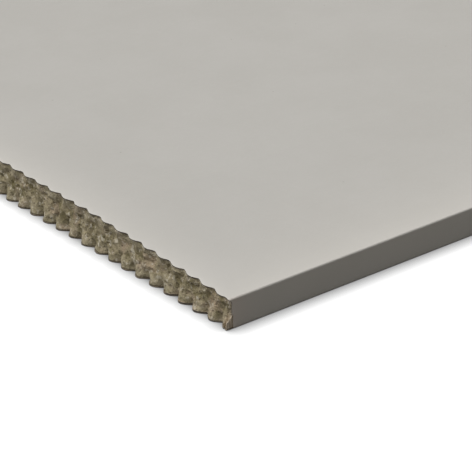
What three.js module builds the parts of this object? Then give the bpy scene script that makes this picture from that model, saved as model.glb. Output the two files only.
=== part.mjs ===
// Gypsum plasterboard with tapered long edges, lying face up. Millimetres, +Z up.
// X runs along the board, Y across it. The origin is under the middle of the board, on the floor.
//
// Three sheets make the board. The face paper covers the face, wraps both long edges and folds a
// flap under each. The gypsum core fills it. The back paper closes the underside and laps the flaps.
// Each sheet is one section across the board, swept along X between two toothed knife cuts.

import * as THREE from 'three';

// The board
const BOARD_LENGTH = 2400;
const BOARD_WIDTH = 1200;
const BOARD_THICKNESS = 12.5;

// Long edges: the face slopes down to them, so that a joint tape and filler lie flush
const TAPER_WIDTH = 67;
const TAPER_DEPTH = 2.4;
const CORE_ARRIS_RADIUS = 0.7;
const ARRIS_STEPS = 3;

// Paper liners
const PAPER_THICKNESS = 0.3;
const BACK_PAPER_INSET = 12;
const BACK_PAPER_LAP = 18;

// Knife cuts across the board: the two knives mesh, so the teeth of the face stand half a pitch
// from those of the back. Teeth are round at the tip and sharp at the notch. Those of the back
// reach further out, by the outset. The first notch of the face lies just in from a long edge.
const TOOTH_PITCH = 7.1;
const FACE_TOOTH_DEPTH = 1.3;
const BACK_TOOTH_DEPTH = 2.2;
const BACK_TOOTH_OUTSET = 0.7;
const FIRST_NOTCH = 1.2;
const POINTS_PER_TOOTH = 4;

// Worked out from the sizes above
const halfWidth = BOARD_WIDTH / 2;
const arrisRadius = CORE_ARRIS_RADIUS + PAPER_THICKNESS;
const arrisY = halfWidth - arrisRadius;
const edgeTop = BOARD_THICKNESS - TAPER_DEPTH;
const flapWidth = BACK_PAPER_INSET + BACK_PAPER_LAP;
const flapEdgeY = halfWidth - flapWidth;
const backPaperY = halfWidth - BACK_PAPER_INSET;
const taperSlope = TAPER_DEPTH / (TAPER_WIDTH - arrisRadius);
const toothCount = Math.round(BOARD_WIDTH / TOOTH_PITCH);
const pitch = BOARD_WIDTH / toothCount;
const cutInmost = Math.max(FACE_TOOTH_DEPTH, BACK_TOOTH_DEPTH - BACK_TOOTH_OUTSET);
const cutMiddle = (cutInmost - BACK_TOOTH_OUTSET) / 2;

// Height of the face at a distance y from the middle line
function faceHeight(y) {
  const intoTaper = Math.max(0, Math.abs(y) - (halfWidth - TAPER_WIDTH));
  return BOARD_THICKNESS - intoTaper * taperSlope;
}

// How far the knife cut lies along X from the middle of its teeth, at one end of the board. The
// teeth of the face fade into those of the back from top to bottom.
function knifeCut(y, z) {
  const turn = (Math.PI * (y + halfWidth - FIRST_NOTCH)) / pitch;
  const faceCut = FACE_TOOTH_DEPTH * (1 - Math.abs(Math.sin(turn)));
  const backCut = BACK_TOOTH_DEPTH * (1 - Math.abs(Math.cos(turn))) - BACK_TOOTH_OUTSET;
  return THREE.MathUtils.lerp(backCut, faceCut, z / BOARD_THICKNESS) - cutMiddle;
}

// Places across the board where a section line has a point: the shoulders of the tapers, the edges
// of the flaps and of the back paper, the arrises, and the notches, flanks and tips of the teeth
function stationsAcross() {
  const bends = [halfWidth - TAPER_WIDTH, flapEdgeY, backPaperY, arrisY].flatMap((y) => [-y, y]);
  const clearOfBends = (y) => bends.every((bend) => Math.abs(y - bend) > pitch / 20);
  const stations = [...bends];
  for (let k = 0; k < POINTS_PER_TOOTH * toothCount; k += 1) {
    const y = FIRST_NOTCH - halfWidth + (k * pitch) / POINTS_PER_TOOTH;
    if (Math.abs(y) < arrisY && clearOfBends(y)) {
      stations.push(y);
    }
  }
  return stations.sort((a, b) => a - b);
}

// Rounded corner as points from angle to angle, in degrees, about the centre of the arris
function arris(side, centreZ, radius, fromAngle, toAngle) {
  const points = [];
  for (let k = 0; k <= ARRIS_STEPS; k += 1) {
    const angle = THREE.MathUtils.degToRad(
      THREE.MathUtils.lerp(fromAngle, toAngle, k / ARRIS_STEPS),
    );
    points.push([side * (arrisY + radius * Math.cos(angle)), centreZ + radius * Math.sin(angle)]);
  }
  return points;
}

// Line over the top of a sheet whose long edges are rounded, from one long edge to the other
function lineOver(stations, radius) {
  const drop = arrisRadius - radius;
  const centreZ = edgeTop - arrisRadius;
  const between = stations.slice(1, -1).map((y) => [y, faceHeight(y) - drop]);
  const left = arris(-1, centreZ, radius, 0, 90);
  const right = arris(1, centreZ, radius, 90, 0);
  return [...left, ...between, ...right];
}

// Line under one folded flap, from the rounded foot of a long edge to the free edge of the flap
function lineUnderFlap(stations, side, radius) {
  const centreZ = PAPER_THICKNESS + arrisRadius;
  const flat = stations
    .filter((y) => side * y >= flapEdgeY && side * y < arrisY)
    .map((y) => [y, centreZ - radius])
    .sort((a, b) => side * (b[0] - a[0]));
  return [...arris(side, centreZ, radius, 0, -90), ...flat];
}

// Solid of one sheet. Its section lies between two lines with as many points, matched in pairs.
// Both run so that the second line is on the left hand, seen with +X towards the eye.
function sheet(name, firstLine, secondLine, colour, roughness) {
  const corners = [];
  const put = (...points) => points.forEach((p) => corners.push(...p));
  const same = (p, q) => p[0] === q[0] && p[1] === q[1];
  const at = (end, [y, z]) => [(end * BOARD_LENGTH) / 2 + knifeCut(y, z), y, z];

  // Strip along the board between two neighbouring points of the section
  const alongBoard = (p, q) => {
    put(at(-1, p), at(-1, q), at(1, q));
    put(at(-1, p), at(1, q), at(1, p));
  };
  // Triangle of the section, shown at both cut ends
  const acrossEnds = (p, q, r) => {
    if (same(p, q) || same(q, r) || same(r, p)) {
      return;
    }
    put(at(1, p), at(1, q), at(1, r));
    put(at(-1, p), at(-1, r), at(-1, q));
  };

  const last = firstLine.length - 1;
  for (let i = 0; i < last; i += 1) {
    const [a, b] = [firstLine[i], firstLine[i + 1]];
    const [c, d] = [secondLine[i], secondLine[i + 1]];
    if (!same(a, b)) {
      alongBoard(a, b);
    }
    if (!same(c, d)) {
      alongBoard(d, c);
    }
    acrossEnds(a, b, d);
    acrossEnds(a, d, c);
  }
  alongBoard(secondLine[0], firstLine[0]);
  alongBoard(firstLine[last], secondLine[last]);

  const geometry = new THREE.BufferGeometry();
  geometry.setAttribute('position', new THREE.Float32BufferAttribute(corners, 3));
  geometry.computeVertexNormals();
  const material = new THREE.MeshStandardMaterial({ color: colour, roughness, metalness: 0 });
  const mesh = new THREE.Mesh(geometry, material);
  mesh.name = name;
  return mesh;
}

const stations = stationsAcross();

// Face paper: one sheet wrapped from the free edge of one flap to that of the other
function facePaper() {
  const wrap = (radius) => [
    ...lineUnderFlap(stations, -1, radius).reverse(),
    ...lineOver(stations, radius),
    ...lineUnderFlap(stations, 1, radius),
  ];
  return sheet('face_paper', wrap(CORE_ARRIS_RADIUS), wrap(arrisRadius), 0xbdbab2, 0.85);
}

// Gypsum core: it fills the wrap, and steps down onto the back paper between the two flaps
function gypsumCore() {
  const under = [
    ...lineUnderFlap(stations, -1, CORE_ARRIS_RADIUS),
    ...stations.filter((y) => Math.abs(y) <= flapEdgeY).map((y) => [y, PAPER_THICKNESS]),
    ...lineUnderFlap(stations, 1, CORE_ARRIS_RADIUS).reverse(),
  ];
  // Above each step the upper line has its point twice, so that the two lines stay matched
  const doubledAtSteps = stations.flatMap((y) => (Math.abs(y) === flapEdgeY ? [y, y] : [y]));
  const over = lineOver(doubledAtSteps, CORE_ARRIS_RADIUS);
  return sheet('gypsum_core', under, over, 0x857b6b, 0.95);
}

// Back paper: a flat sheet whose edges lap over the two flaps
function backPaper() {
  const across = stations.filter((y) => Math.abs(y) <= backPaperY);
  const lower = across.map((y) => [y, 0]);
  const upper = across.map((y) => [y, PAPER_THICKNESS]);
  return sheet('back_paper', lower, upper, 0x9d978b, 0.9);
}

const group = new THREE.Group();
group.add(facePaper(), gypsumCore(), backPaper());

export default group;
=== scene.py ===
# %% [markdown]
# A gypsum plasterboard, lying face up on a pale floor.
# The board is a grey paper face, a cast gypsum core and a coarser paper back. Its long edges are
# wrapped in the face paper. Its short ends are cut by two toothed knives that meet inside the
# core, so there the gypsum is broken and shows its crumbly inside.
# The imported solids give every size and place. This script loads them as a fixed frame and lays
# finer surfaces of the same size over them.

import math

import bpy
import numpy as np
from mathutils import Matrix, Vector, noise


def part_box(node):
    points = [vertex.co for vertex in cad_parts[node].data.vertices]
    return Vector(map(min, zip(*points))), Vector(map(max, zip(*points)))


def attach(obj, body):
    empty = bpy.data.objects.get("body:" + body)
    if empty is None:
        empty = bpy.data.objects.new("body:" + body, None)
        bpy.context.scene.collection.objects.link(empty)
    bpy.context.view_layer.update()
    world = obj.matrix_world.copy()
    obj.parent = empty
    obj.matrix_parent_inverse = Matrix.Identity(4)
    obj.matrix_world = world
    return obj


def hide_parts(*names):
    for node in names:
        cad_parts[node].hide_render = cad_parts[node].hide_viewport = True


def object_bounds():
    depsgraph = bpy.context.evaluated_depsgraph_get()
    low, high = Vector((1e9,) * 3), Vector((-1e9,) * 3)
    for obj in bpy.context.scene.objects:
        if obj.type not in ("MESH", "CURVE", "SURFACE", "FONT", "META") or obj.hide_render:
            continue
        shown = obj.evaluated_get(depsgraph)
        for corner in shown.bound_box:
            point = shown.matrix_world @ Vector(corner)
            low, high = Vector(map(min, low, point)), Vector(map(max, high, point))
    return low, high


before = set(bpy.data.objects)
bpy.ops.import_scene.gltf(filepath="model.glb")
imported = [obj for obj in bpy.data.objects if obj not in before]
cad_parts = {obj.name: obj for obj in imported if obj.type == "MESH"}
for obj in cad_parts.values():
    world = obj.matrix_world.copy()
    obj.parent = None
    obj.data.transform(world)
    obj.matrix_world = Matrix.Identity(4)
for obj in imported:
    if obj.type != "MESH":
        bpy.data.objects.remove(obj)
cad_box = [list(corner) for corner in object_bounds()]
print("frame nodes:", sorted(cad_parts), "box:", cad_box)

# %% [markdown]
# The sizes that a maker would call out. The overall ones are read from the frame. Those of the
# taper, the paper and the knife teeth are the ones that the solids have too.
# Lengths are written in millimetres and turned into metres, the unit of the frame.

# %% Sizes of the board
MM = 0.001
paper_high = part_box("face_paper")[1]
HALF_WIDTH = paper_high.y
FACE_TOP = paper_high.z
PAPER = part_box("back_paper")[1].z
BACK_PAPER_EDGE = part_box("back_paper")[1].y
REACH = cad_box[1][0]

TAPER_WIDTH = 67 * MM
TAPER_DEPTH = 2.4 * MM
FLAP_WIDTH = 30 * MM
CORE_ARRIS = 0.7 * MM
ARRIS = CORE_ARRIS + PAPER
HEAD_ARRIS = 0.58 * MM
FOOT_ARRIS = 0.45 * MM
ARRIS_Y = HALF_WIDTH - ARRIS
FLAP_EDGE = HALF_WIDTH - FLAP_WIDTH
EDGE_TOP = FACE_TOP - TAPER_DEPTH
TAPER_SLOPE = TAPER_DEPTH / (TAPER_WIDTH - ARRIS)
print(f"{2 * HALF_WIDTH / MM:.0f} mm wide, {FACE_TOP / MM:.1f} mm thick, edges {EDGE_TOP / MM:.1f} mm")

# %% Sizes of the knife teeth
TOOTH_COUNT = 169
PITCH = 2 * HALF_WIDTH / TOOTH_COUNT
FACE_TOOTH = 1.3 * MM
BACK_TOOTH = 2.2 * MM
BACK_OUTSET = 0.7 * MM
FIRST_NOTCH = 1.2 * MM
CUT_MIDDLE = BACK_TOOTH / 2 - BACK_OUTSET
HALF_LENGTH = REACH - BACK_TOOTH / 2
ENDS = (-1, 1)
print(f"half length {HALF_LENGTH / MM:.1f} mm, tooth pitch {PITCH / MM:.3f} mm")

# %% [markdown]
# Everything irregular on the board comes from smooth noise: lumps that vary gently from place to
# place. One helper gives lumps of a chosen size. A second gives round pits, from the distance to
# scattered points. Both always give the same answer for the same place and seed.

# %% Noise over a surface
def lumps(across, up, size, seed):
    """Noise from -1 to 1 whose lumps are about `size` wide, at each place of two arrays."""
    places = zip((across / size).ravel(), (up / size).ravel())
    return np.array([noise.noise((a, b, seed)) for a, b in places]).reshape(across.shape)


def pits(across, up, size, seed):
    """Round hollows from 0 at their rim to 1 in the middle, scattered about `size` apart."""
    places = zip((across / size).ravel(), (up / size).ravel())
    near = np.array([noise.voronoi((a, b, seed))[0][0] for a, b in places])
    return np.clip(1 - near.reshape(across.shape) / 0.55, 0, 1)


def ramp(value, low, high):
    """0 below low, 1 above high, and an S-shaped rise between them."""
    t = np.clip((value - low) / (high - low), 0, 1)
    return t * t * (3 - 2 * t)


# %% [markdown]
# The cross-section of the board, as heights over a place across it. The face slopes down to both
# long edges in a taper, so that tape and filler lie flush at a joint. The edges themselves have
# small round arrises, drawn a little crisper than those of the solids, as paper pressed round the
# core comes out. The core is one paper thickness smaller all round. Under each long edge the
# folded flap lies on the floor, and steps up by a paper thickness where the back paper laps it.

# %% Heights of the section
def face_height(y):
    into_taper = np.maximum(0, np.abs(y) - (HALF_WIDTH - TAPER_WIDTH))
    return FACE_TOP - into_taper * TAPER_SLOPE


def rounding(out, radius):
    """How far a rounded corner of the core falls away at a distance `out` from the middle line."""
    past = np.clip(out - (HALF_WIDTH - PAPER - radius), 0, radius)
    return radius - np.sqrt(radius**2 - past**2)


def flap_height(out):
    """Outer side of the folded flap: on the back paper where that laps it, else on the floor."""
    return PAPER * (1 - ramp(out, BACK_PAPER_EDGE, BACK_PAPER_EDGE + 0.8 * MM))


def core_heights(y):
    """Lowest and highest gypsum at each place across the board."""
    out = np.abs(y)
    bottom = np.where(out < FLAP_EDGE, PAPER, flap_height(out) + PAPER)
    low = bottom + rounding(out, FOOT_ARRIS - PAPER)
    high = face_height(np.clip(y, -ARRIS_Y, ARRIS_Y)) - PAPER - rounding(out, HEAD_ARRIS - PAPER)
    return low, high


print("core heights at the edge:", [float(h) / MM for h in core_heights(np.array(ARRIS_Y))])

# %% [markdown]
# The line of the knife cut. Seen from above, each knife leaves a row of teeth, round at the tip
# and sharp at the notch. The two rows stand half a pitch apart. Real teeth wander a little, so the
# place and depth of each one drifts with slow noise. Each row holds its shape near its own paper and
# fades towards the middle, where the board simply snapped. Under each tip of the face a hollow has
# broken out, and there the end is darkest. The last tooth beside a long edge is hardly cut.

# %% Line of the cut
TOOTH_DRIFT = 0.28 * MM
TOOTH_JITTER = 0.16 * MM
CHIP = 0.22 * MM
SNAP_LINE = 0.7 * MM
FACE_TEETH_FADE = (1.4 * MM, 6.4 * MM)
BACK_TEETH_FADE = (0.2 * MM, 5.2 * MM)
HOLLOW_DEPTH = 0.75 * MM
HOLLOW_UNDER_FACE = 4.3 * MM
HOLLOW_HEIGHT = 1.6 * MM
UNCUT_WIDTH = (3.4 * MM, 0.8 * MM)
UNCUT_SET_BACK = 0.36 * MM


def wander(y):
    """Where along the row of teeth a place lies, in turns, with uneven spacing."""
    drift = TOOTH_DRIFT * lumps(y, 0 * y, 9 * MM, 3.1)
    jitter = TOOTH_JITTER * lumps(y, 0 * y, 3.5 * MM, 8.7)
    return (y + HALF_WIDTH - FIRST_NOTCH + (drift + jitter)) / PITCH


def face_cut(y):
    """How far in from the tip line the face paper ends: 0 at a tip, a tooth depth at a notch."""
    depth = FACE_TOOTH * (0.84 + 0.25 * lumps(y, 0 * y, 8 * MM, 21.3))
    cut = depth * (1 - np.abs(np.sin(np.pi * wander(y))) ** 1.5) + 0.05 * MM
    by_edge = ramp(np.abs(y), HALF_WIDTH - UNCUT_WIDTH[0], HALF_WIDTH - UNCUT_WIDTH[1])
    return cut * (1 - by_edge) + UNCUT_SET_BACK * by_edge


def back_cut(y):
    """The same for the back, whose tips reach further out."""
    depth = BACK_TOOTH * (1.1 + 0.35 * lumps(y, 0 * y, 8 * MM, 47.9))
    outset = BACK_OUTSET * (0.98 + 0.3 * lumps(y, 0 * y, 11 * MM, 5.5))
    chipped = CHIP * lumps(y, 0 * y, 2.6 * MM, 33.3)
    return depth * (1 - np.abs(np.cos(np.pi * wander(y)))) - outset + chipped


def knife_cut(y, z):
    """Distance of the broken face from the plain end of the board, inward positive."""
    faced, backed = face_cut(y), back_cut(y)
    middle = SNAP_LINE + 0.25 * MM * lumps(y, z, 14 * MM, 1.7)
    under_face = face_height(y) - z + 0.9 * MM * lumps(y, z, 5 * MM, 2.3)
    share_of_face = 1 - ramp(under_face, *FACE_TEETH_FADE)
    share_of_back = 1 - ramp(z, *BACK_TEETH_FADE)
    cut = middle + share_of_face * (faced - middle) + share_of_back * (backed - middle)
    at_tip = np.sin(np.pi * (wander(y) + 0.12)) ** 2
    hollow = at_tip * np.exp(-(((under_face - HOLLOW_UNDER_FACE) / HOLLOW_HEIGHT) ** 2))
    return cut + HOLLOW_DEPTH * hollow * (0.9 + 0.8 * lumps(y, z, 9 * MM, 6.1)) - CUT_MIDDLE


probe = np.linspace(-HALF_WIDTH, HALF_WIDTH, 4000)
for height in (0, FACE_TOP):
    cut = knife_cut(probe, 0 * probe + height)
    print(f"cut at {height / MM:.1f} mm up: {cut.min() / MM:.2f} to {cut.max() / MM:.2f} mm")

# %% [markdown]
# The gypsum core. A sculpted or voxel-remeshed block would need far too many faces for a sheet
# this long, and the broken surface only shows at the two ends. So the core is one closed mesh
# whose ends are fine grids and whose long sides are single strips from end to end. Each grid
# point is moved in from the knife cut by the crumbling: broad fracture lumps, smaller grains and
# round hollows where air cells or whole grains broke out. Just under the face paper the gypsum
# stands back a little, which is why the paper's edge shows as a line. Near the back paper it holds
# together better, and at the corners it has crumbled away.

# %% Crumbling of the gypsum
BROAD_LUMP = 0.42 * MM
GRAIN = 0.36 * MM
FINE_GRAIN = 0.22 * MM
HOLE = 1.15 * MM
SMALL_HOLE = 0.5 * MM
UNDER_FACE = 0.15 * MM
HELD_BY_BACK = 0.6
CORNER_LOSS = 0.8 * MM
CORNER_WIDTH = 2.6 * MM
LEAST_SET_BACK = 0.03 * MM


def crumbling(y, z, end):
    """How far the gypsum stands back from the knife cut, different at the two ends."""
    seed = 40 * end
    broad = BROAD_LUMP * (lumps(y, z, 3.2 * MM, seed + 11.5) + 0.3)
    grains = GRAIN * lumps(y, z, 1.5 * MM, seed + 17.2) + FINE_GRAIN * lumps(y, z, 0.8 * MM, seed + 3.9)
    holes = HOLE * pits(y, z, 2.4 * MM, seed + 7.7) + SMALL_HOLE * pits(y, z, 1.2 * MM, seed + 29.1)
    to_face = (face_height(y) - PAPER - z) / MM
    under_face = UNDER_FACE * np.exp(-np.maximum(to_face, 0) / 0.35)
    to_back = (z - PAPER) / MM
    ease = 1 - HELD_BY_BACK * np.exp(-np.maximum(to_back, 0) / 1.2)
    corner = CORNER_LOSS * ramp(np.abs(y), HALF_WIDTH - CORNER_WIDTH, HALF_WIDTH - PAPER)
    return np.maximum((broad + grains + holes) * ease + under_face, LEAST_SET_BACK) + corner


# %% [markdown]
# The grid of the broken ends. Half a millimetre across is enough for the grains, and keeps a board
# 1.2 m wide within its share of triangles. Near the corners and at the laps the places are closer,
# so that round and stepped parts keep their shape.

# %% Places of the grid across the board
CORE_STEP = 0.525 * MM
CORE_ROWS = 20
LAP_STEP = 0.8 * MM


def places_across(limit, step, extra=()):
    """Even places from -limit to limit, with any extra ones put in between."""
    count = int(round(2 * limit / step)) + 1
    return np.unique(np.round(np.concatenate([np.linspace(-limit, limit, count), extra]), 7))


CORE_SIDE = HALF_WIDTH - PAPER
corner_fine = CORE_SIDE - np.array([0.06, 0.14, 0.25, 0.38, 0.7, 0.95, 1.25, 1.5, 1.8, 2.05]) * MM
lap_fine = np.array([FLAP_EDGE, BACK_PAPER_EDGE, BACK_PAPER_EDGE + LAP_STEP])
core_y = places_across(CORE_SIDE, CORE_STEP, [*corner_fine, *-corner_fine, *lap_fine, *-lap_fine])
core_low, core_high = core_heights(core_y)
rows = np.linspace(0, 1, CORE_ROWS + 1)
core_z = core_low[:, None] + (core_high - core_low)[:, None] * rows
core_yy = np.repeat(core_y[:, None], CORE_ROWS + 1, axis=1)
print("core grid:", core_yy.shape)

# %% One mesh from corner points and faces
def make_piece(name, points, faces, crease=40, face_kinds=None):
    """A mesh object from a list of points and faces, smooth except where faces meet sharply."""
    mesh = bpy.data.meshes.new(name)
    mesh.from_pydata(points, [], faces)
    mesh.polygons.foreach_set("use_smooth", [True] * len(faces))
    mesh.set_sharp_from_angle(angle=math.radians(crease))
    if face_kinds is not None:
        mesh.polygons.foreach_set("material_index", face_kinds)
    mesh.validate()
    mesh.update()
    piece = bpy.data.objects.new(name, mesh)
    bpy.context.scene.collection.objects.link(piece)
    triangles = sum(len(p.vertices) - 2 for p in mesh.polygons)
    print(name, "has", triangles, "triangles, size in mm", [round(d / MM, 2) for d in piece.dimensions])
    return piece


# %% Core mesh
def end_points(end, y, z, inset):
    """Points of one end of a layer, kept inside the reach of the solids."""
    x = end * HALF_LENGTH + knife_cut(y, z) - end * inset
    x = np.clip(x, -REACH, REACH)
    return np.stack([x, y, z], axis=-1)


def build_core():
    grids = [end_points(end, core_yy, core_z, crumbling(core_yy, core_z, end)) for end in ENDS]
    points = np.concatenate([g.reshape(-1, 3) for g in grids])
    number = np.arange(len(points)).reshape(2, len(core_y), CORE_ROWS + 1)
    near, far = number
    faces = []
    for grid, turned in ((near, True), (far, False)):
        a, b, c, d = grid[:-1, :-1], grid[1:, :-1], grid[1:, 1:], grid[:-1, 1:]
        quad = (a, d, c, b) if turned else (a, b, c, d)
        faces += np.stack(quad, axis=-1).reshape(-1, 4).tolist()
    for row, turned in ((0, False), (CORE_ROWS, True)):
        a, b, c, d = near[:-1, row], near[1:, row], far[1:, row], far[:-1, row]
        quad = (a, d, c, b) if turned else (a, b, c, d)
        faces += np.stack(quad, axis=-1).tolist()
    for column, turned in ((0, True), (-1, False)):
        a, b, c, d = near[column, :-1], near[column, 1:], far[column, 1:], far[column, :-1]
        quad = (a, d, c, b) if turned else (a, b, c, d)
        faces += np.stack(quad, axis=-1).tolist()
    return make_piece("crumbled_gypsum_core", points.tolist(), faces)


core = build_core()

# %% [markdown]
# The paper liners. Each is a thin closed sheet that follows its own line across the board, with
# its ends on the knife cut. Paper tears more cleanly than gypsum breaks, so its outline is the
# knife's, with only fine raggedness. The knife also presses the sheet down a little at the cut,
# so two more rows of points near each end let its lip bend. Solidify could give the thickness,
# but here both skins are laid out together, so that the dark cut edge can have its own finish.

# %% Closed sheet from a grid of points
SKIN, CUT_EDGE, INNER_SKIN = 0, 1, 2


def closed_sheet(name, front, inward, thickness):
    """A sheet under a grid of points, in rows that run away from -X with their front to the left."""
    grid = np.stack([front, front + inward * thickness])
    rows_along, count = front.shape[:2]
    outer, inner = np.arange(2 * rows_along * count).reshape(2, rows_along, count)
    faces, kinds = [], []

    def strip(first, second, kind):
        quads = np.stack([first[:-1], first[1:], second[1:], second[:-1]], axis=-1).tolist()
        faces.extend(quads)
        kinds.extend([kind] * len(quads))

    for k in range(rows_along - 1):
        strip(outer[k + 1], outer[k], SKIN)
        strip(inner[k], inner[k + 1], INNER_SKIN)
    strip(outer[0], inner[0], CUT_EDGE)
    strip(inner[-1], outer[-1], CUT_EDGE)
    strip(inner[:, 0], outer[:, 0], CUT_EDGE)
    strip(outer[:, -1], inner[:, -1], CUT_EDGE)
    return make_piece(name, grid.reshape(-1, 3).tolist(), faces, 50, kinds)


# %% Paper sheet along a line across the board
LIP_ROWS = np.array([0.0, 0.5, 1.6]) * MM
LIP_PRESS = np.array([0.14, 0.05, 0.0]) * MM


def build_paper(name, outside, inward, ends, press=0.0):
    """outside holds (y, z) points, inward the unit normals into the board, ends the two cuts."""
    front = []
    for end, cut in zip(ENDS, ends):
        lip = list(zip(LIP_ROWS, LIP_PRESS))
        for step, pressed in lip if end < 0 else lip[::-1]:
            x = np.clip(end * HALF_LENGTH + cut, -REACH, REACH) - end * step
            front.append(np.column_stack([x, outside + inward * pressed * press]))
    flat_inward = np.column_stack([0 * inward[:, 0], inward])
    return closed_sheet(name, np.array(front), flat_inward, PAPER)


# %% Ragged edge of torn paper
TATTER = 0.1 * MM
FINE_TATTER = 0.05 * MM


def ragged(y, z, seed):
    """Fine raggedness of a paper edge along its line."""
    along = y + z
    tatters = TATTER * lumps(along, 0 * y, 1.3 * MM, seed)
    return tatters + FINE_TATTER * lumps(along, 0 * y, 0.5 * MM, seed + 9)


# %% Back paper
back_y = places_across(BACK_PAPER_EDGE, 0.4 * MM)[::-1]
back_line = np.column_stack([back_y, 0 * back_y])
upward = np.tile([0.0, 1.0], (len(back_y), 1))
back_ends = [back_cut(back_y) - CUT_MIDDLE + ragged(back_y, 0 * back_y, 60 * end) for end in ENDS]
back_paper = build_paper("back_paper_sheet", back_line, upward, back_ends)

# %% [markdown]
# The line of the face paper round the board, as seen from one end: up from a flap, round a long
# edge, over the face and down the other side. It is put together from arcs and straight stretches,
# each with its direction into the board, so that the sheet keeps an even thickness.

# %% Line of the face paper round the board
def arc(side, radius, centre_z, start, stop, steps=6):
    """Points and inward directions round an arris, angles in degrees from straight out."""
    turn = np.radians(np.linspace(start, stop, steps))
    out = np.column_stack([side * np.cos(turn), np.sin(turn)])
    return np.array([side * (HALF_WIDTH - radius), centre_z]) + out * radius, -out


def straight(points, inward):
    return np.array(points), np.tile(np.array(inward, float), (len(points), 1))


HEAD_CENTRE = EDGE_TOP - HEAD_ARRIS
SHOULDER = HALF_WIDTH - TAPER_WIDTH
flap_y = np.arange(FLAP_EDGE, HALF_WIDTH - FOOT_ARRIS, 0.4 * MM)
side_z = np.arange(FOOT_ARRIS, HEAD_CENTRE, 0.4 * MM)[1:]
face_y = places_across(HALF_WIDTH - HEAD_ARRIS - 0.1 * MM, 0.36 * MM, [SHOULDER, -SHOULDER])
stretches = [
    straight(np.column_stack([-flap_y, flap_height(flap_y)]), (0, 1)),
    arc(-1, FOOT_ARRIS, FOOT_ARRIS, -90, 0),
    straight([(-HALF_WIDTH, z) for z in side_z], (1, 0)),
    arc(-1, HEAD_ARRIS, HEAD_CENTRE, 0, 90),
    straight(np.column_stack([face_y, face_height(face_y)]), (0, -1)),
    arc(1, HEAD_ARRIS, HEAD_CENTRE, 90, 0),
    straight([(HALF_WIDTH, z) for z in side_z[::-1]], (-1, 0)),
    arc(1, FOOT_ARRIS, FOOT_ARRIS, 0, -90),
    straight(np.column_stack([flap_y, flap_height(flap_y)])[::-1], (0, 1)),
]
wrap_line = np.concatenate([line for line, _ in stretches])
wrap_inward = np.concatenate([inward for _, inward in stretches])
print("face paper line has", len(wrap_line), "points")

# %% [markdown]
# On the face the paper ends on the teeth of the upper knife. Round the long edge it behaves
# differently: the knife drags the wrapped paper, and the grey outer ply tears back almost straight
# while brown inner plies stay behind, longest at the foot.

# %% Face paper
WRAP_TEAR = 1.0 * MM


def wrap_end(end):
    """Where the face paper ends along its line: teeth on the face, a straight tear on the side."""
    y, z = wrap_line.T
    teeth = face_cut(y) - CUT_MIDDLE
    tear = -end * (WRAP_TEAR + 0.12 * MM * lumps(y, z, 1.6 * MM, 80 * end))
    down_side = ramp(EDGE_TOP - z, 0.25 * MM, 1.1 * MM)
    by_side = ramp(np.abs(y), HALF_WIDTH - 2.0 * MM, HALF_WIDTH - FOOT_ARRIS)
    torn = down_side * by_side
    toothed = np.where(z > HEAD_CENTRE - 2 * MM, teeth, knife_cut(y, z))
    return toothed * (1 - torn) + tear * torn + ragged(y, z, 70 * end)


face_paper = build_paper("face_paper_sheet", wrap_line, wrap_inward, [wrap_end(e) for e in ENDS], 1.0)

# %% [markdown]
# The torn plies. At each corner three brown inner plies of the wrapped paper stick out past the grey
# one, each a bit further than the one outside it. They are thin sheets too, tucked under the grey
# ply at one side and ragged at the other. Their free edge opens out slightly, so it catches light.

# %% Torn plies at the corners
PLY = 0.08 * MM
PLIES = (
    ("outer", 1, -0.3 * MM, 5.0 * MM),
    ("middle", 2, 0.4 * MM, 4.6 * MM),
    ("inner", 3, 1.05 * MM, 4.1 * MM),
)
TUCK = WRAP_TEAR + 0.5 * MM
PLY_ROWS = 7
PLY_FLARE = 0.07 * MM
PLY_SHORTER_BELOW = 0.5 * MM
PLY_TATTER = 0.16 * MM
PLY_FINE_TATTER = 0.09 * MM


def torn_ply(name, end, side, depth, overhang, top, seed):
    """One ply at the corner `end`, `side`, `depth` plies in, standing `overhang` past the cut."""
    y, z = wrap_line.T
    low = (y * side > HALF_WIDTH - 3 * MM) & (z < top)
    line, inward = wrap_line[low], wrap_inward[low]
    y, z = line.T
    fall = ramp(z, top - 1.7 * MM, top - 0.1 * MM)
    under = ramp(HALF_WIDTH - np.abs(y), 0.4 * MM, 2.6 * MM)
    tear = overhang - (overhang + WRAP_TEAR) * fall - PLY_SHORTER_BELOW * under
    tear = tear + PLY_TATTER * lumps(y, z, 1.4 * MM, seed)
    tear = tear + PLY_FINE_TATTER * lumps(y, z, 0.5 * MM, seed + 4)
    front = []
    for share in np.linspace(0, 1, PLY_ROWS):
        out = -TUCK + (tear + TUCK) * (1 - share)
        flare = PLY_FLARE * (1 - share) ** 3
        x = np.clip(end * (HALF_LENGTH + out), -REACH, REACH)
        front.append(np.column_stack([x, line + inward * (depth * PLY - flare)]))
    if end > 0:
        front = front[::-1]
    flat_inward = np.column_stack([0 * inward[:, 0], inward])
    ply = closed_sheet(name, np.array(front), flat_inward, 0.8 * PLY)
    to_free_edge = np.linspace(1, 0, PLY_ROWS) if end < 0 else np.linspace(0, 1, PLY_ROWS)
    frayed = np.tile(np.repeat(to_free_edge, len(line)), 2)
    ply.data.attributes.new("frayed", "FLOAT", "POINT").data.foreach_set("value", frayed)
    return ply


torn_plies = []
for end in ENDS:
    for side in ENDS:
        corner = ("minus" if end < 0 else "plus") + "_x_" + ("minus" if side < 0 else "plus") + "_y"
        for label, depth, overhang, top in PLIES:
            seed = 90 + 20 * end + 7 * side + 3 * depth
            name = f"torn_ply_{label}_{corner}"
            torn_plies.append(torn_ply(name, end, side, depth, overhang, top, seed))

# %% [markdown]
# Shader effects that more than one material uses. Each is a node group with plain inputs and
# outputs, so a material reads as a short list of what it is made of. All of them work on places in
# the board's own metres, so a grain of a millimetre is a millimetre everywhere.

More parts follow.
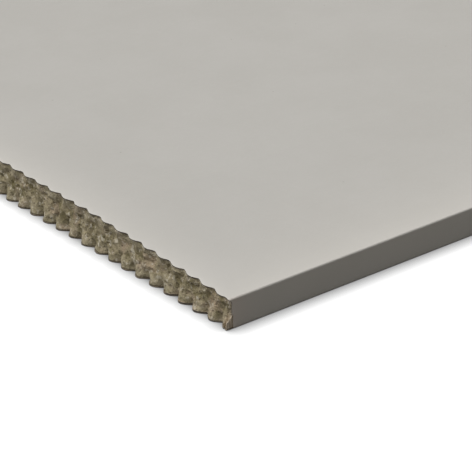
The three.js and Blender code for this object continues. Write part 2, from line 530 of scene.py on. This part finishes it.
# %% Small helpers for node trees
def new_group(name, inputs, outputs):
    """An empty node group with named sockets, and its input and output nodes."""
    group = bpy.data.node_groups.new(name, "ShaderNodeTree")
    for label, kind, value in inputs:
        socket = group.interface.new_socket(name=label, in_out="INPUT", socket_type=kind)
        if value is not None:
            socket.default_value = value
    for label, kind in outputs:
        group.interface.new_socket(name=label, in_out="OUTPUT", socket_type=kind)
    return group, group.nodes.new("NodeGroupInput"), group.nodes.new("NodeGroupOutput")


def add(tree, kind, links=None, **values):
    """A node with some properties, and with sockets set to a value or joined to another output."""
    node = tree.nodes.new(kind)
    for key, value in values.items():
        setattr(node, key, value)
    for key, value in (links or {}).items():
        if isinstance(value, bpy.types.NodeSocket):
            tree.links.new(value, node.inputs[key])
        else:
            node.inputs[key].default_value = value
    return node


def maths(tree, operation, first, second=0.0, clamp=False):
    node = add(tree, "ShaderNodeMath", {0: first, 1: second}, operation=operation, use_clamp=clamp)
    return node.outputs[0]


def noise_of(tree, place, scale, detail=3.0, roughness=0.5):
    links = {"Vector": place, "Scale": scale, "Detail": detail, "Roughness": roughness}
    return add(tree, "ShaderNodeTexNoise", links).outputs["Fac"]


def remap(tree, value, low, high, to_low=0.0, to_high=1.0):
    links = {"Value": value, "From Min": low, "From Max": high, "To Min": to_low, "To Max": to_high}
    return add(tree, "ShaderNodeMapRange", links, interpolation_type="SMOOTHSTEP").outputs["Result"]


def blend(tree, share, first, second, blend_type="MIX"):
    node = add(tree, "ShaderNodeMix", data_type="RGBA", blend_type=blend_type)
    for socket, value in zip((node.inputs[0], node.inputs[6], node.inputs[7]), (share, first, second)):
        if isinstance(value, bpy.types.NodeSocket):
            tree.links.new(value, socket)
        else:
            socket.default_value = value
    return node.outputs[2]


FLOAT, COLOUR, PLACE = "NodeSocketFloat", "NodeSocketColor", "NodeSocketVector"

# %% Group: paper fibres
fibres, fibres_in, fibres_out = new_group(
    "Paper fibres",
    [("Place", PLACE, None), ("Fibres per metre", FLOAT, 2500.0), ("Length to width", FLOAT, 7.0)],
    [("Fibres", FLOAT), ("Height", FLOAT)],
)
shrink = maths(fibres, "DIVIDE", 1.0, fibres_in.outputs["Length to width"])
layers = []
for turn in (0.12, 1.1, -0.7):
    spun = {"Vector": fibres_in.outputs["Place"], "Angle": turn}
    rotate = add(fibres, "ShaderNodeVectorRotate", spun, rotation_type="Z_AXIS").outputs[0]
    squeeze = add(fibres, "ShaderNodeCombineXYZ", {"X": shrink, "Y": 1.0, "Z": 1.0}).outputs[0]
    drawn = add(fibres, "ShaderNodeVectorMath", {0: rotate, 1: squeeze},
                operation="MULTIPLY").outputs[0]
    layers.append(noise_of(fibres, drawn, fibres_in.outputs["Fibres per metre"], 2.0))
felt = maths(fibres, "MAXIMUM", maths(fibres, "MAXIMUM", layers[0], layers[1]), layers[2])
fibres.links.new(remap(fibres, felt, 0.5, 0.8), fibres_out.inputs["Fibres"])
fibres.links.new(felt, fibres_out.inputs["Height"])

# %% Group: mottle
mottle, mottle_in, mottle_out = new_group(
    "Mottle",
    [("Place", PLACE, None), ("Size in metres", FLOAT, 0.02), ("Colour", COLOUR, (0.5, 0.5, 0.5, 1)),
     ("Other colour", COLOUR, (0.5, 0.5, 0.5, 1)),
     ("Edge low", FLOAT, 0.35), ("Edge high", FLOAT, 0.65)],
    [("Colour", COLOUR), ("Share", FLOAT)],
)
per_metre = maths(mottle, "DIVIDE", 1.0, mottle_in.outputs["Size in metres"])
patchy = noise_of(mottle, mottle_in.outputs["Place"], per_metre, 4.0, 0.55)
share = remap(mottle, patchy, mottle_in.outputs["Edge low"], mottle_in.outputs["Edge high"])
two_tone = blend(mottle, share, mottle_in.outputs["Colour"], mottle_in.outputs["Other colour"])
mottle.links.new(two_tone, mottle_out.inputs["Colour"])
mottle.links.new(share, mottle_out.inputs["Share"])

# %% Group: nearness to the edges of the board
near_edges, edges_in, edges_out = new_group(
    "Nearness to the edges",
    [("Place", PLACE, None), ("Width at cut ends", FLOAT, 0.009),
     ("Width at long edges", FLOAT, 0.014)],
    [("To cut end", FLOAT), ("To long edge", FLOAT), ("Either", FLOAT)],
)
parts = add(near_edges, "ShaderNodeSeparateXYZ", {"Vector": edges_in.outputs["Place"]})
found = []
for axis, half, width in (
    ("X", HALF_LENGTH, "Width at cut ends"),
    ("Y", HALF_WIDTH, "Width at long edges"),
):
    away = maths(near_edges, "SUBTRACT", half, maths(near_edges, "ABSOLUTE", parts.outputs[axis]))
    away = maths(near_edges, "MAXIMUM", away, 0.0)
    away = maths(near_edges, "DIVIDE", away, edges_in.outputs[width])
    found.append(maths(near_edges, "EXPONENT", maths(near_edges, "MULTIPLY", away, -1.0)))
near_edges.links.new(found[0], edges_out.inputs["To cut end"])
near_edges.links.new(found[1], edges_out.inputs["To long edge"])
near_edges.links.new(maths(near_edges, "MAXIMUM", found[0], found[1]), edges_out.inputs["Either"])

# %% Group: drawn streaks
drawn_streaks, streaks_in, streaks_out = new_group(
    "Drawn streaks",
    [("Place", PLACE, None), ("Streaks per metre", FLOAT, 1500.0), ("Length to width", FLOAT, 8.0)],
    [("Streaks", FLOAT)],
)
shrink = maths(drawn_streaks, "DIVIDE", 1.0, streaks_in.outputs["Length to width"])
squeeze = add(drawn_streaks, "ShaderNodeCombineXYZ", {"X": 1.0, "Y": 1.0, "Z": shrink}).outputs[0]
upright = add(drawn_streaks, "ShaderNodeVectorMath", {0: streaks_in.outputs["Place"], 1: squeeze},
              operation="MULTIPLY").outputs[0]
streak = noise_of(drawn_streaks, upright, streaks_in.outputs["Streaks per metre"], 2.0)
drawn_streaks.links.new(remap(drawn_streaks, streak, 0.4, 0.62), streaks_out.inputs["Streaks"])
print("node groups:", [group.name for group in bpy.data.node_groups])

# %% Start of a material
def new_material(name, roughness):
    """A material with its Principled shader and the place on the object as coordinates."""
    material = bpy.data.materials.new(name)
    material.use_nodes = True
    shader = material.node_tree.nodes["Principled BSDF"]
    shader.inputs["Roughness"].default_value = roughness
    shader.inputs["Specular IOR Level"].default_value = 0.25
    place = material.node_tree.nodes.new("ShaderNodeTexCoord").outputs["Object"]
    return material, material.node_tree, shader, place


def use_group(tree, group, links):
    node = add(tree, "ShaderNodeGroup", node_tree=group)
    for key, value in links.items():
        if isinstance(value, bpy.types.NodeSocket):
            tree.links.new(value, node.inputs[key])
        else:
            node.inputs[key].default_value = value
    return node.outputs


def bumped(tree, shader, height, distance, strength=1.0, under=None):
    links = {"Height": height, "Distance": distance, "Strength": strength}
    if under is not None:
        links["Normal"] = under
    normal = add(tree, "ShaderNodeBump", links).outputs[0]
    tree.links.new(normal, shader.inputs["Normal"])
    return normal


def colour(red, green, blue):
    return (red, green, blue, 1.0)


# %% [markdown]
# Face paper. Recycled liner, smooth and matt, an even warm grey. From arm's length it is nearly
# plain; close up it has pressed fibres, faint cloudy areas and a few darker specks of waste paper.
# It is a little paler towards every edge, and where the side paper was torn back at
# the corners it is scuffed to a warmer tone.

# %% Face paper material
face_material, tree, shader, place = new_material("face paper, grey liner", 0.72)
cloud = use_group(tree, mottle, {"Place": place, "Size in metres": 0.03,
                                 "Colour": colour(0.442, 0.428, 0.400),
                                 "Other colour": colour(0.454, 0.440, 0.413)})
felt = use_group(tree, fibres, {"Place": place, "Fibres per metre": 2600.0})
fibre_share = maths(tree, "MULTIPLY", felt["Fibres"], 0.12)
fibre_tone = blend(tree, fibre_share, cloud["Colour"], colour(0.56, 0.55, 0.52))
specks = add(tree, "ShaderNodeTexVoronoi", {"Vector": place, "Scale": 140.0}, distance="EUCLIDEAN")
tiny = maths(tree, "LESS_THAN", specks.outputs["Distance"], 0.04)
dice = add(tree, "ShaderNodeSeparateColor", {"Color": specks.outputs["Color"]}).outputs[0]
few = maths(tree, "GREATER_THAN", dice, 0.8)
speck_share = maths(tree, "MULTIPLY", maths(tree, "MULTIPLY", tiny, few), 0.35)
specked = blend(tree, speck_share, fibre_tone, colour(0.16, 0.14, 0.12))
edges = use_group(tree, near_edges, {"Place": place})
# Paler towards every edge of the board.
paler_by_edges = maths(tree, "MULTIPLY", edges["Either"], 0.26)
paled_by_edges = blend(tree, paler_by_edges, specked, colour(0.76, 0.72, 0.66))
corner = use_group(tree, near_edges, {"Place": place, "Width at cut ends": 0.004,
                                      "Width at long edges": 0.0004})
at_corner = maths(tree, "MULTIPLY", corner["To cut end"], corner["To long edge"])
scuffed = maths(tree, "MULTIPLY", at_corner, 0.55)
tree.links.new(blend(tree, scuffed, paled_by_edges, colour(0.62, 0.50, 0.43)), shader.inputs["Base Color"])
bumped(tree, shader, felt["Height"], 0.00006, 0.5)

# %% [markdown]
# The cut edge of the paper. Seen end on, a liner is a dark line: the knife bruises its plies and
# dirt catches in them, and the rest of its darkness is painted shade, the thin shadow along the
# paper's edge. One flat dark brown would look drawn, so a little mottle breaks it.

# %% Cut edge of the paper
edge_material, tree, shader, place = new_material("paper cut edge, dirt and painted shade", 0.9)
# Dark brown of bruised, dirty plies, deepened with painted shade.
dark = use_group(tree, mottle, {"Place": place, "Size in metres": 0.0012,
                                "Colour": colour(0.065, 0.056, 0.045),
                                "Other colour": colour(0.16, 0.14, 0.115)})
tree.links.new(dark["Colour"], shader.inputs["Base Color"])
felt = use_group(tree, fibres, {"Place": place, "Fibres per metre": 5000.0})
bumped(tree, shader, felt["Height"], 0.0001)

# %% [markdown]
# Torn plies. The inner plies are brown kraft pulp. Where one was torn its fibres stand up and look
# pale, so the free edge is lighter, and the ply is streaked upright as the knife drew it. Hairs of
# real mesh would be thinner than a pixel here. Down at the bottom, where they meet the floor, the
# plies are darkened with painted shade.
# The same finish serves the inner skin of both liners.

# %% Torn ply material
ply_material, tree, shader, place = new_material("torn kraft ply", 0.92)
brown = use_group(tree, mottle, {"Place": place, "Size in metres": 0.0009,
                                 "Colour": colour(0.29, 0.215, 0.14),
                                 "Other colour": colour(0.42, 0.33, 0.23)})
felt = use_group(tree, fibres, {"Place": place, "Fibres per metre": 4200.0})
frayed = add(tree, "ShaderNodeAttribute", attribute_name="frayed").outputs["Fac"]
streaks = use_group(tree, drawn_streaks, {"Place": place, "Streaks per metre": 1500.0})["Streaks"]
streaked = blend(tree, maths(tree, "MULTIPLY", streaks, 0.6), brown["Colour"], colour(0.62, 0.52, 0.40))
loose_fibres = maths(tree, "MULTIPLY", felt["Fibres"], 0.4)
pale = maths(tree, "MAXIMUM", loose_fibres, remap(tree, frayed, 0.7, 0.95, 0.0, 0.75))
height = add(tree, "ShaderNodeSeparateXYZ", {"Vector": place}).outputs["Z"]
# Painted shade at the bottom, where the plies meet the floor.
clear_of_foot_shade = remap(tree, height, 0.2 * MM, 0.9 * MM, 0.25, 1.0)
worn = blend(tree, maths(tree, "MULTIPLY", pale, clear_of_foot_shade), streaked, colour(0.82, 0.73, 0.61))
tree.links.new(blend(tree, clear_of_foot_shade, colour(0.12, 0.095, 0.065), worn), shader.inputs["Base Color"])
bumped(tree, shader, felt["Height"], 0.00015)

# %% [markdown]
# Back paper. Coarser and browner than the face, with longer fibres. It hardly shows, so it is made
# like the face without specks or paler edges.

# %% Back paper material
back_material, tree, shader, place = new_material("back paper, coarse liner", 0.85)
cloud = use_group(tree, mottle, {"Place": place, "Size in metres": 0.02,
                                 "Colour": colour(0.31, 0.285, 0.24),
                                 "Other colour": colour(0.34, 0.315, 0.27)})
felt = use_group(tree, fibres, {"Place": place, "Fibres per metre": 1500.0})
fibre_share = maths(tree, "MULTIPLY", felt["Fibres"], 0.3)
fibre_tone = blend(tree, fibre_share, cloud["Colour"], colour(0.42, 0.39, 0.34))
tree.links.new(fibre_tone, shader.inputs["Base Color"])
bumped(tree, shader, felt["Height"], 0.0001, 0.7)

# %% [markdown]
# Broken gypsum. Set plaster full of air cells, in a dim, dusty grey-brown. Three layers of mottle
# give its clouds: darker and lighter plaster, warmer patches, and small pale crumbs. Pores are dark
# dots of painted shade, with some depth. Towards both papers the plaster is a little paler. By the
# long edges it is speckled, and at the bottom of a corner the knife smeared brown fibre over it. Just
# above the back paper runs a dark line of painted shade, where the board meets the floor.

# %% Gypsum material
gypsum_material, tree, shader, place = new_material("broken gypsum", 0.95)
base = use_group(tree, mottle, {"Place": place, "Size in metres": 0.0042,
                                "Edge low": 0.38, "Edge high": 0.6,
                                "Colour": colour(0.199, 0.168, 0.085),
                                "Other colour": colour(0.343, 0.292, 0.187)})
tinted = use_group(tree, mottle, {"Place": place, "Size in metres": 0.0068,
                                  "Edge low": 0.5, "Edge high": 0.62,
                                  "Colour": base["Colour"],
                                  "Other colour": colour(0.372, 0.294, 0.200)})
light = use_group(tree, mottle, {"Place": place, "Size in metres": 0.0017,
                                 "Edge low": 0.54, "Edge high": 0.68,
                                 "Colour": tinted["Colour"],
                                 "Other colour": colour(0.55, 0.50, 0.39)})
spot = add(tree, "ShaderNodeSeparateXYZ", {"Vector": place}).outputs
out = maths(tree, "ABSOLUTE", spot["Y"])
dense = remap(tree, out, HALF_WIDTH - 2.4 * MM, HALF_WIDTH - 1.0 * MM)
flecks = remap(tree, noise_of(tree, place, 900.0, 3.0), 0.42, 0.6, 0.15, 0.8)
speckle = maths(tree, "MULTIPLY", dense, flecks)
edge_core = blend(tree, speckle, light["Colour"], colour(0.60, 0.54, 0.45))
crumbs = noise_of(tree, place, 1400.0, 4.0, 0.65)
pores = add(tree, "ShaderNodeTexVoronoi", {"Vector": place, "Scale": 850.0})
pore_depth = remap(tree, pores.outputs["Distance"], 0.05, 0.4)
# Painted shade in the pores.
pore_shade = maths(tree, "MULTIPLY", maths(tree, "SUBTRACT", 1.0, pore_depth), 0.7)
with_pore_shade = blend(tree, pore_shade, edge_core, colour(0.11, 0.082, 0.045))
near_back = remap(tree, spot["Z"], 5.0 * MM, 1.5 * MM, 0.0, 0.17)
near_face = remap(tree, spot["Z"], 8.4 * MM, 10.2 * MM, 0.0, 0.26)
near_paper = maths(tree, "MAXIMUM", near_back, near_face)
by_papers = blend(tree, near_paper, with_pore_shade, colour(0.52, 0.47, 0.36))
streaks = use_group(tree, drawn_streaks, {"Place": place, "Streaks per metre": 1300.0})["Streaks"]
kraft = blend(tree, streaks, colour(0.22, 0.165, 0.10), colour(0.50, 0.41, 0.29))
at_side = remap(tree, out, HALF_WIDTH - 3.2 * MM, HALF_WIDTH - 2.0 * MM)
at_foot = remap(tree, spot["Z"], 4.6 * MM, 3.2 * MM)
smeared = blend(tree, maths(tree, "MULTIPLY", at_side, at_foot), by_papers, kraft)
# Painted shade: a dark line just above the back paper, where the board meets the floor.
painted_contact_shade = remap(tree, spot["Z"], PAPER + 0.5 * MM, PAPER + 0.1 * MM, 0.0, 0.85)
tree.links.new(blend(tree, painted_contact_shade, smeared, colour(0.045, 0.036, 0.024)), shader.inputs["Base Color"])
height = maths(tree, "ADD", crumbs, maths(tree, "MULTIPLY", pore_depth, 0.35))
bumped(tree, shader, height, 0.0006, 0.9)

# %% [markdown]
# Each sheet has three finishes: its skin, its cut edge, and its inner skin, which shows only where
# a lip stands past the gypsum. They come in the order of the numbers that the faces were given.

# %% Finishes on the pieces
for piece, finishes in (
    (core, [gypsum_material]),
    (face_paper, [face_material, edge_material, ply_material]),
    (back_paper, [back_material, edge_material, ply_material]),
    *((ply, [ply_material, ply_material, ply_material]) for ply in torn_plies),
):
    for finish in finishes:
        piece.data.materials.append(finish)

# %% [markdown]
# The studio. A plain white floor that glows a little, so that it comes out clear, and darkens only
# where the board stands close to it, a contact shadow painted into its glow from ambient occlusion.
# One very large soft light hangs high over the board, with a faint even light all round. What the
# floor sends back up is set apart, by a card that the camera doesn't see: a white floor would send up
# so much that the edges of the board would lose their depth.

# %% Floor and bounce card
FLOOR = 30.0
CONTACT_SHADOW = 6.5 * MM
CARD_DEPTH = 0.2 * MM


def flat_plane(name, height):
    mesh = bpy.data.meshes.new(name)
    turns = ((-1, -1), (1, -1), (1, 1), (-1, 1))
    corners = [(FLOOR * x, FLOOR * y, height) for x, y in turns]
    mesh.from_pydata(corners, [], [(0, 1, 2, 3)])
    plane = bpy.data.objects.new(name, mesh)
    bpy.context.scene.collection.objects.link(plane)
    return plane


floor = flat_plane("studio_floor", 0.0)
floor_material, tree, shader, place = new_material("studio floor", 0.9)
shader.inputs["Specular IOR Level"].default_value = 0.0
shader.inputs["Base Color"].default_value = colour(0.12, 0.12, 0.12)
# Painted contact shadow: the floor's glow darkens by ambient occlusion near the board.
openness = add(tree, "ShaderNodeAmbientOcclusion", {"Distance": CONTACT_SHADOW},
               samples=16).outputs["AO"]
tree.links.new(maths(tree, "POWER", openness, 1.5), shader.inputs["Emission Strength"])
shader.inputs["Emission Color"].default_value = colour(0.99, 0.99, 0.99)
floor.data.materials.append(floor_material)
floor.visible_diffuse = False
floor.visible_shadow = False
card = flat_plane("bounce_card", -CARD_DEPTH)
card_material, tree, shader, place = new_material("bounce card", 0.9)
shader.inputs["Base Color"].default_value = colour(0.15, 0.14, 0.12)
card.data.materials.append(card_material)
card.visible_camera = False

# %% [markdown]
# Light and camera. In the photo the face is bright, the broken end lies in half shade, the long edge
# is darker still, and nothing casts a hard shadow. One sun lamp of a very wide angle gives that. An
# area light would fall off over a board this long. The camera was worked out from the straight
# lines and the teeth in the photo. It stands about 0.63 m from the near corner.

# %% Light
LIGHT_FROM = Vector((-0.40, 0.25, 0.882))
sun_data = bpy.data.lights.new("overhead_softbox", "SUN")
sun_data.energy = 3.58
sun_data.angle = math.radians(85)
sun = bpy.data.objects.new("overhead_softbox", sun_data)
sun.rotation_euler = LIGHT_FROM.to_track_quat("Z", "Y").to_euler()
bpy.context.scene.collection.objects.link(sun)
world = bpy.data.worlds.new("even_fill")
world.use_nodes = True
backdrop = world.node_tree.nodes["Background"]
backdrop.inputs["Color"].default_value = colour(1, 0.965, 0.89)
backdrop.inputs["Strength"].default_value = 0.07
bpy.context.scene.world = world
bpy.context.scene.view_settings.view_transform = "Standard"
bpy.context.scene.view_settings.look = "None"

# %% Camera
CAMERA_AT = Vector((-1.54870, -1.03282, 0.30548))
CAMERA_TOWARDS = Vector((0.56471, 0.69620, -0.44317))
camera_data = bpy.data.cameras.new("photo_camera")
camera_data.sensor_width = 36
camera_data.lens = 165.8
camera_data.clip_start = 0.01
camera = bpy.data.objects.new("photo_camera", camera_data)
camera.location = CAMERA_AT
camera.rotation_euler = CAMERA_TOWARDS.to_track_quat("-Z", "Y").to_euler()
bpy.context.scene.collection.objects.link(camera)
bpy.context.scene.camera = camera

# %% [markdown]
# Every piece goes with the one body of the part. The three sheets take the places of the solids
# that they dress, and the torn plies belong to the face paper.

# %% Join the pieces to the frame
for piece in (core, face_paper, back_paper, *torn_plies):
    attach(piece, "root")
for piece, node in ((core, "gypsum_core"), (face_paper, "face_paper"), (back_paper, "back_paper")):
    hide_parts(node)

# %% [markdown]
# The box of the solids is printed again at the end.
# Nothing on the board may reach past its solids.

# %% Size of the solids
print("solids:", cad_box)
